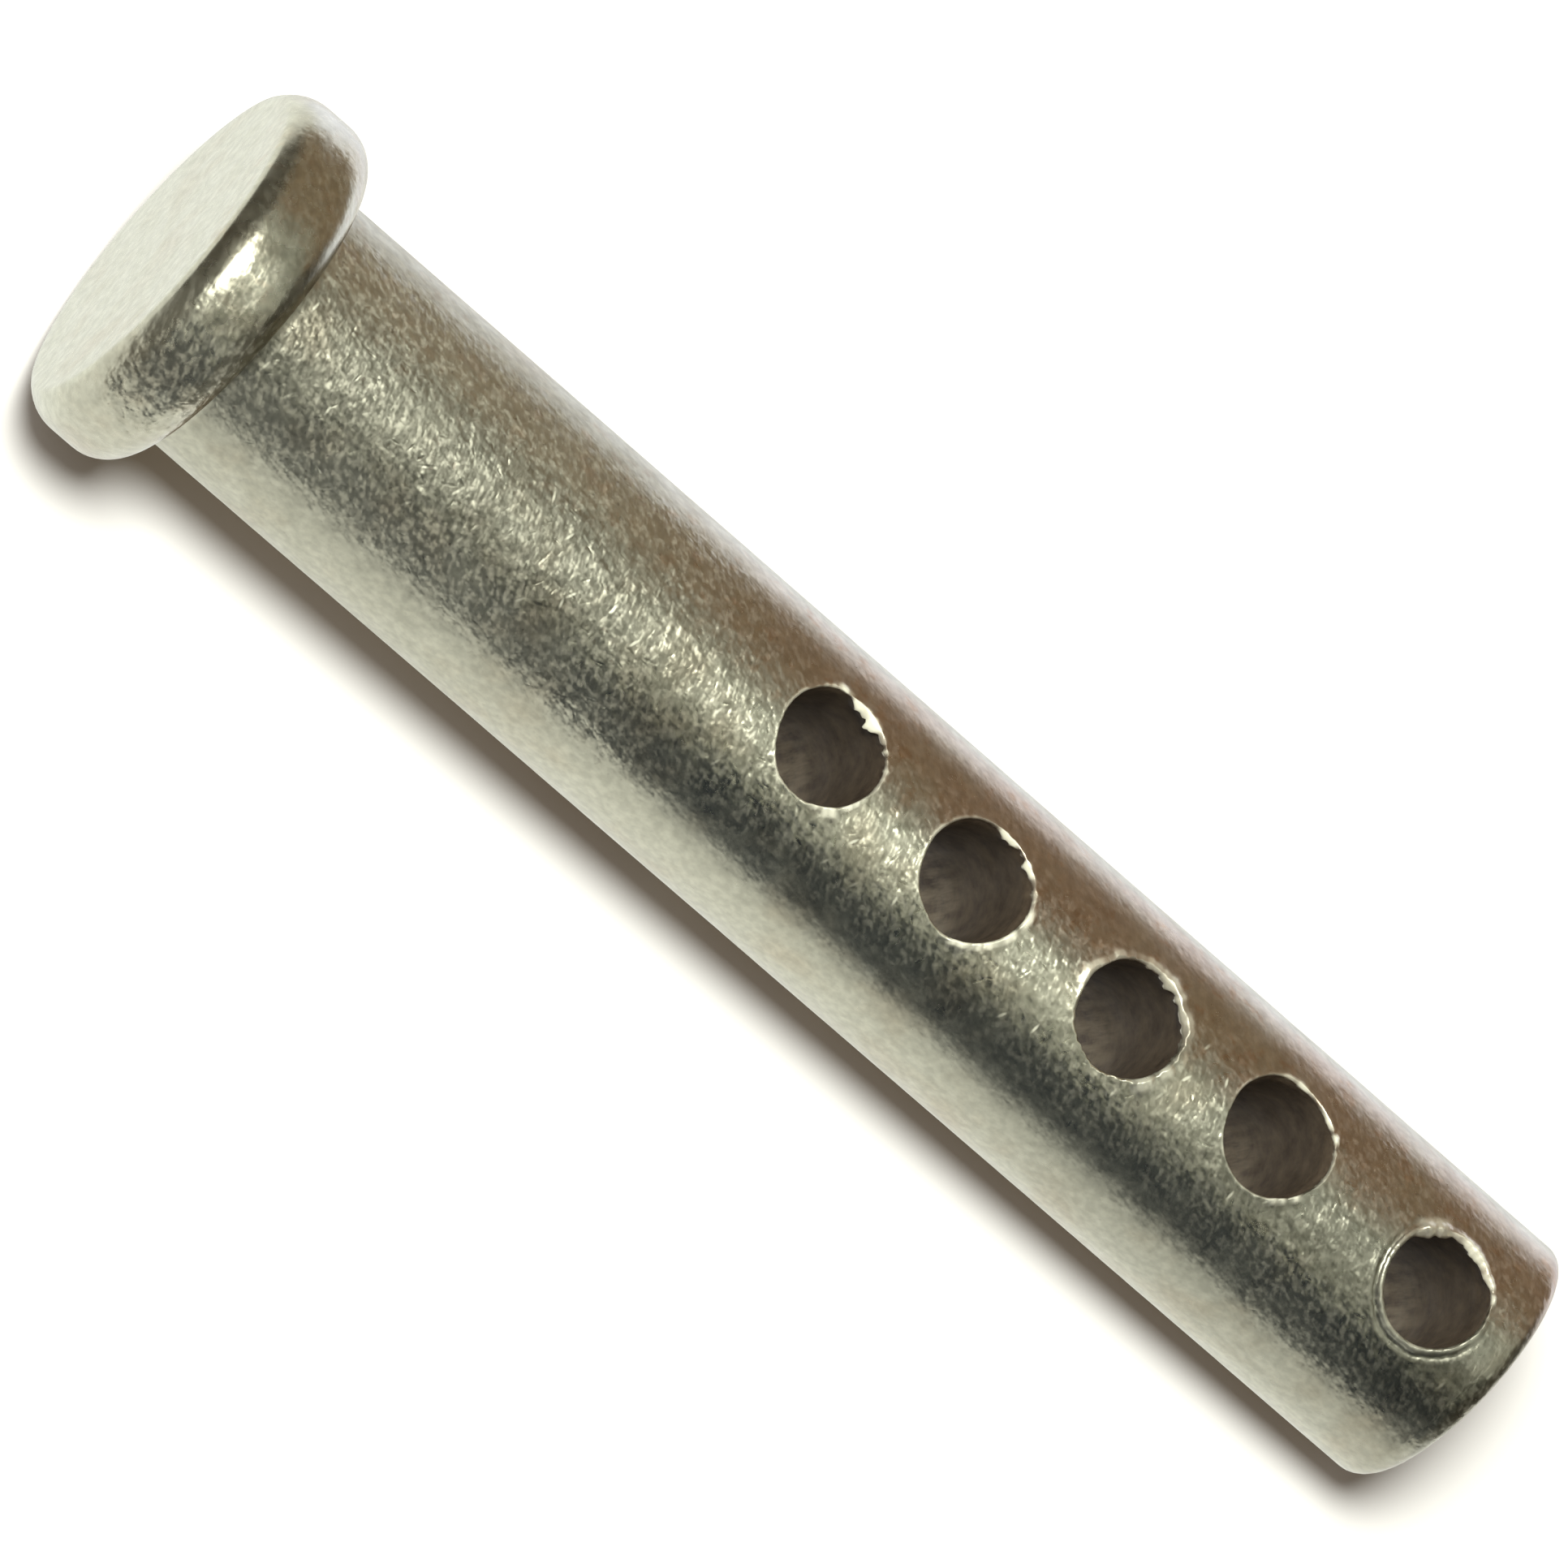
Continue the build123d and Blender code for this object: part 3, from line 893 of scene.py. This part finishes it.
# Roughness: the head's or the shank's, plus a noise, less the nicks' shine, plus the grime's.
def steelRoughness(tree, at):
    noise = ranged(tree, steelNoise(tree, at["place"], "rough"), *steel["roughNoise"])
    onShank = ranged(tree, at["height"], *steel["dullEnds"], steel["dullRoughness"], steel["roughness"],
                     smooth=True)
    onHead = mixedValue(tree, at["onRim"], steel["headRoughness"], steel["rimRoughness"])
    rough = maths(tree, "ADD", noise, mixedValue(tree, at["onShank"], onHead, onShank))
    rough = maths(tree, "SUBTRACT", rough, product(tree, at["nicks"], at["grain"], steel["nickShine"]))
    return maths(tree, "ADD", rough, product(tree, at["dirtAndShade"], steel["grimeRoughness"]), clamp=True)


# Metallic: the head's or the shank's, less the dull grains, then mixed to each other surface's by its mask.
def steelMetallic(tree, at, leaves):
    onShank = ranged(tree, at["height"], *steel["dullEnds"], steel["dullMetallic"], 1.0, smooth=True)
    onHead = mixedValue(tree, at["onRim"], 1.0, steel["rimMetallic"])
    dull = ranged(tree, at["height"], *steel["dullEnds"], *steel["dullGrain"], smooth=True)
    metallic = maths(tree, "SUBTRACT", mixedValue(tree, at["onShank"], onHead, onShank),
                     product(tree, leaves, dull, at["grain"]), clamp=True)
    for mask, name in (("paintedGlint", "paintedGlintMetallic"), ("lip", "tornMetallic"), ("dirtAndShade", "grimeMetallic")):
        metallic = mixedValue(tree, at[mask], metallic, steel[name])
    return metallic


# The steel: grain, nicks and facets tilt its normal, each by its share, and the functions above give the
# rest. What they read is kept in one dictionary of sockets.
def steelMaterial(nicks, grain, facets):
    material = bpy.data.materials.new("tumbledSteel")
    tree = emptyTree(material)
    place = vectorMath(tree, "SCALE", addNode(tree, "TexCoord").outputs["Object"], scale=1 / mm)
    markMap = addNode(tree, "UVMap", uv_map="markMap").outputs[0]
    height = addNode(tree, "SeparateXYZ", {0: place}).outputs[2]
    bore, lip = (addNode(tree, "Attribute", attribute_name=name).outputs["Fac"] for name in ("bore", "lip"))

    # One layer of nicks over the mark map
    def nickLayer(perMm, length, width, shift, swing=0.0, spread=math.pi):
        inputs = {"Place": markMap, "Per mm": perMm, "Length": length, "Width": width, "Shift": shift,
                  "Turn": swing, "Spread": spread}
        return addNode(tree, "Group", inputs, node_tree=nicks).outputs[0]

    texture = addNode(tree, "Group", {"Place": place, "Marks": markMap}, node_tree=grain).outputs
    tilted = addNode(tree, "Group", {"Place": place, "Marks": markMap}, node_tree=facets).outputs
    worn = cosineFrom(tree, place, steel["wornBearing"], shankRadius)
    onRim = maskOf(tree, cosineFrom(tree, place, steel["headBearing"], headRadius), *steel["headEdge"])
    onShank = maskOf(tree, height, *(headHeight + past for past in steel["headBlend"]))
    # Pale strokes on the side where the highlight falls: painted glints
    paintedGlint = product(tree, ranged(tree, nickLayer(*steel["paintedGlints"]), *steel["paintedGlintNoise"]),
                     maskOf(tree, worn, *steel["paintedGlintEdge"]),
                     maths(tree, "SUBTRACT", onShank, lip, clamp=True),
                     ranged(tree, height, *steel["paintedGlintEnds"]))
    at = {"place": place, "markMap": markMap, "height": height, "bore": bore, "lip": lip, "worn": worn,
          "onRim": onRim, "onShank": onShank, "paintedGlint": paintedGlint, "pits": texture["Pits"],
          "patches": steelNoise(tree, place, "patches"),
          "dirtAndShade": maskOf(tree, bore, *steel["grimeAndShadeEdge"]),
          "nicks": maths(tree, "MAXIMUM", *(nickLayer(*layer) for layer in steel["nicks"]))}
    at["grain"] = grainShare(tree, at)

    cut = product(tree, at["nicks"], steel["nickHeight"], at["grain"])
    bumps = product(tree, maths(tree, "SUBTRACT", texture["Height"], cut), at["grain"])
    tilt = vectorMath(tree, "SCALE", tilted["Tilt"], scale=at["grain"])
    leaning = vectorMath(tree, "ADD", addNode(tree, "NewGeometry").outputs["Normal"], tilt)
    bump = addNode(tree, "Bump", {"Strength": 1.0, "Distance": mm, "Height": bumps,
                                  "Normal": vectorMath(tree, "NORMALIZE", leaning)})
    shader = addNode(tree, "BsdfPrincipled", {
        "Base Color": steelColour(tree, at), "Roughness": steelRoughness(tree, at),
        "Metallic": steelMetallic(tree, at, tilted["Grain"]), "Normal": bump.outputs[0]})
    addNode(tree, "OutputMaterial", {"Surface": shader.outputs[0]})
    return material


# Target in millimetres, angles in degrees.
cameraView = {"target": (0.0, 0.0, 25.97), "azimuth": 21.06, "elevation": -15.105, "roll": 130.94,
              "distance": 449.1, "lens": 334.4, "sensor": 36.0, "clip": (0.01, 10.0)}


# The camera stands off along its bearing, looks back at the target and is rolled about its line of sight.
def makeCamera():
    data = bpy.data.cameras.new("camera")
    data.lens, data.sensor_width = cameraView["lens"], cameraView["sensor"]
    data.clip_start, data.clip_end = cameraView["clip"]
    camera = placed("camera", data)
    back = bearingVector(cameraView["azimuth"], cameraView["elevation"])
    up = (Vector((0, 0, 1)) - back * back.z).normalized()
    right = up.cross(back)
    roll = math.radians(cameraView["roll"])
    rolledRight = right * math.cos(roll) + up * math.sin(roll)
    rolledUp = up * math.cos(roll) - right * math.sin(roll)
    spot = (Vector(cameraView["target"]) + back * cameraView["distance"]) * mm
    rotation = Matrix((rolledRight, rolledUp, back)).transposed()
    camera.matrix_world = Matrix.Translation(spot) @ rotation.to_4x4()
    bpy.context.scene.camera = camera


# What shiny surfaces see of the studio, on a dome (radius in metres). It starts with the bare glow, and each
# panel in turn is painted over it: (azimuth, elevation, half width, half height, softness, colour), in degrees.
studio = {
    "radius": 0.4,
    "cells": (240, 120),
    "bareGlow": (1.0, 1.0, 0.98),
    "panels": [
        # flags round the front
        (-67.5, 15, 35, 75, 12, (0.25, 0.185, 0.125)),
        (25, 15, 62, 75, 14, (0.26, 0.26, 0.22)),
        (102, 15, 16, 75, 20, (0.80, 0.80, 0.77)),
        (67.5, 15, 27.5, 75, 12, (0.030, 0.036, 0.045)),
        (0, -70, 105, 50, 16, (0.095, 0.085, 0.070)),
        # flags behind
        (195, -25, 40, 25, 12, (1.14, 1.16, 1.14)),
        (180, 84, 180, 24, 14, (0.06, 0.055, 0.045)),
        (44, 62, 38, 16, 14, (0.06, 0.055, 0.045)),
        (-121, 27, 17, 32, 12, (1.20, 1.22, 1.38)),
        # the soft light
        (0.5, 33, 13, 33, 10, (0.52, 0.53, 0.48)),
        (4, -16, 16, 9, 5, (6.2, 6.2, 5.85)),
        (1.5, -2.5, 6, 7, 5, (9.0, 9.0, 8.5)),
    ],
    "lowPanel": 20,                    # panels of less than this half height keep their width in true degrees
    "underside": (0.30, 0.22, 0.17),   # what is left of light that the pin would throw on under itself
}


# A dome whose glow is worked out at each point of a grid from azimuth and elevation: every panel covers what
# lies under it by a product of two soft-edged boxes.
def makeDome():
    across, upward = studio["cells"]
    a, e = np.meshgrid(np.linspace(-180, 180, across + 1), np.linspace(-89.5, 89.5, upward + 1))
    glow = np.ones((*a.shape, 3)) * studio["bareGlow"]
    for centreA, centreE, halfA, halfE, soft, colour in studio["panels"]:
        narrowing = np.cos(np.radians(e)) if halfE < studio["lowPanel"] else 1.0
        gap = np.abs(np.mod(a - centreA + 180, 360) - 180) * narrowing
        cover = smoothStep(halfA + soft / 2, halfA - soft / 2, gap)
        cover = cover * smoothStep(halfE + soft / 2, halfE - soft / 2, np.abs(e - centreE))
        glow += (np.array(colour) - glow) * cover[..., None]
    ar, er = np.radians(a), np.radians(e)
    points = studio["radius"] * np.stack([np.sin(ar) * np.cos(er), -np.cos(ar) * np.cos(er), np.sin(er)], -1)
    index = np.arange(a.size).reshape(a.shape)
    quads = np.stack([index[:-1, :-1], index[1:, :-1], index[1:, 1:], index[:-1, 1:]], -1).reshape(-1, 4)
    mesh = bpy.data.meshes.new("studioDome")
    mesh.from_pydata(points.reshape(-1, 3).tolist(), [], quads.tolist())
    paint = mesh.attributes.new("glow", "FLOAT_COLOR", "POINT")
    paint.data.foreach_set("color", np.dstack([glow, np.ones(a.shape)]).astype(np.float32).ravel())
    dome = placed("studioDome", mesh)
    material = bpy.data.materials.new("studioGlow")
    tree = emptyTree(material)
    painted = addNode(tree, "Attribute", attribute_name="glow").outputs["Color"]
    # Light that the pin would throw on under itself is dimmer and warmer, since the bench is in shadow there
    later = maths(tree, "GREATER_THAN", addNode(tree, "LightPath").outputs["Ray Depth"], 1.5)
    glowing = mixed(tree, later, painted, mixed(tree, 1.0, painted, studio["underside"], "MULTIPLY"))
    emission = addNode(tree, "Emission", {"Color": glowing, "Strength": 1.0})
    addNode(tree, "OutputMaterial", {"Surface": emission.outputs[0]})
    material.cycles.emission_sampling = "NONE"
    mesh.materials.append(material)
    dome.visible_camera = dome.visible_diffuse = dome.visible_shadow = dome.visible_transmission = False


cardPaint = {"matt": (0.88, 0.88, 0.86), "glow": (1.0, 1.0, 0.98)}


# A flat card seen by the camera only, and only from its front: matt white, with a little glow of its own.
def paleCard(name, corners, glow):
    mesh = bpy.data.meshes.new(name)
    mesh.from_pydata(corners, [], [(0, 1, 2, 3)])
    card = placed(name, mesh)
    material = bpy.data.materials.new(name)
    tree = emptyTree(material)
    matt = addNode(tree, "BsdfDiffuse", {"Color": cardPaint["matt"]})
    own = addNode(tree, "Emission", {"Color": cardPaint["glow"], "Strength": glow})
    both = addNode(tree, "AddShader", {0: matt.outputs[0], 1: own.outputs[0]})
    clear = addNode(tree, "BsdfTransparent")
    pick = addNode(tree, "MixShader", {0: addNode(tree, "NewGeometry").outputs["Backfacing"],
                                       1: both.outputs[0], 2: clear.outputs[0]})
    addNode(tree, "OutputMaterial", {"Surface": pick.outputs[0]})
    mesh.materials.append(material)
    card.visible_diffuse = card.visible_glossy = card.visible_transmission = card.visible_shadow = False


# Millimetres and degrees.
bench = {"bearing": -6.9, "leanHeights": (1.6, 54.2), "middle": 27, "reach": 75.0, "glow": 0.0}


# The bench that the pin lies against: the plane that touches the head's rim and the shank's tip.
def makeBench():
    out = bearingVector(bench["bearing"], 0)
    along = Vector((-out.y, out.x, 0))
    low, high = bench["leanHeights"]
    slope = (headRadius - shankRadius) / (high - low)
    middle, reach = bench["middle"], bench["reach"]

    # A corner at a height and a distance sideways: behind the pin by the lean at that height
    def spot(height, sideways):
        away = headRadius - slope * (height - low)
        return tuple((-out * away + along * sideways + Vector((0, 0, height))) * mm)

    corners = [spot(middle + up * reach, aside * reach) for up, aside in ((-1, -1), (-1, 1), (1, 1), (1, -1))]
    paleCard("bench", corners, bench["glow"])


# Metres. The floor lies a hair under the head's face, so that the two never share a plane.
floor = {"reach": 0.6, "level": -0.00003, "glow": 0.08}


# The floor: a square at its level, reaching as far on every side.
def makeFloor():
    reach = floor["reach"]
    corners = [(x * reach, y * reach, floor["level"]) for x, y in ((-1, -1), (1, -1), (1, 1), (-1, 1))]
    paleCard("floor", corners, floor["glow"])


# Each lamp's name, azimuth, elevation, distance, size, power and colour: degrees, metres and watts.
lamps = [
    ("benchLamp", 3.2, -16, 0.5, 0.18, 3.15, (1.0, 1.0, 0.95)),
    ("softLamp", 4, -32, 0.5, 0.45, 0.40, (1.0, 1.0, 1.0)),
    ("topLamp", 173, 62, 0.6, 0.4, 8.0, (1.0, 1.0, 1.0)),
]


# Area lamps, each at its bearing and distance from the middle of the pin and aimed at it.
def makeLamps():
    middle = Vector((0, 0, pinTop / 2 * mm))
    for name, azimuth, elevation, distance, size, power, colour in lamps:
        data = bpy.data.lights.new(name, "AREA")
        data.shape, data.size, data.energy, data.color = "DISK", size, power, colour
        lamp = placed(name, data)
        away = bearingVector(azimuth, elevation)
        lamp.location = middle + away * distance
        lamp.rotation_mode = "QUATERNION"
        lamp.rotation_quaternion = away.to_track_quat("Z", "Y")
        lamp.visible_glossy = lamp.visible_camera = False


# The low even light on matt surfaces.
worldFill = (0.175, 0.145, 0.115)


# The world is white to the camera, in reflections and through clear cards, and the fill to every other ray.
def makeWorld():
    world = bpy.data.worlds.new("studioWorld")
    bpy.context.scene.world = world
    tree = emptyTree(world)
    path = addNode(tree, "LightPath").outputs
    seen = maths(tree, "ADD", path["Is Camera Ray"], path["Is Glossy Ray"])
    seen = maths(tree, "ADD", seen, path["Is Transmission Ray"], clamp=True)
    background = addNode(tree, "Background", {"Color": mixed(tree, seen, worldFill, (1.0, 1.0, 1.0)),
                                              "Strength": 1.0})
    addNode(tree, "OutputWorld", {"Surface": background.outputs[0]})


makeCamera()
makeWorld()
makeDome()
makeBench()
makeFloor()
makeLamps()
print("stage made")

pinSurface = pinObject()
pinSurface.data.materials.append(steelMaterial(nickGroup(), grainGroup(), facetGroup()))
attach(pinSurface, "root")
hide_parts("clevis_pin")
print("pin made")
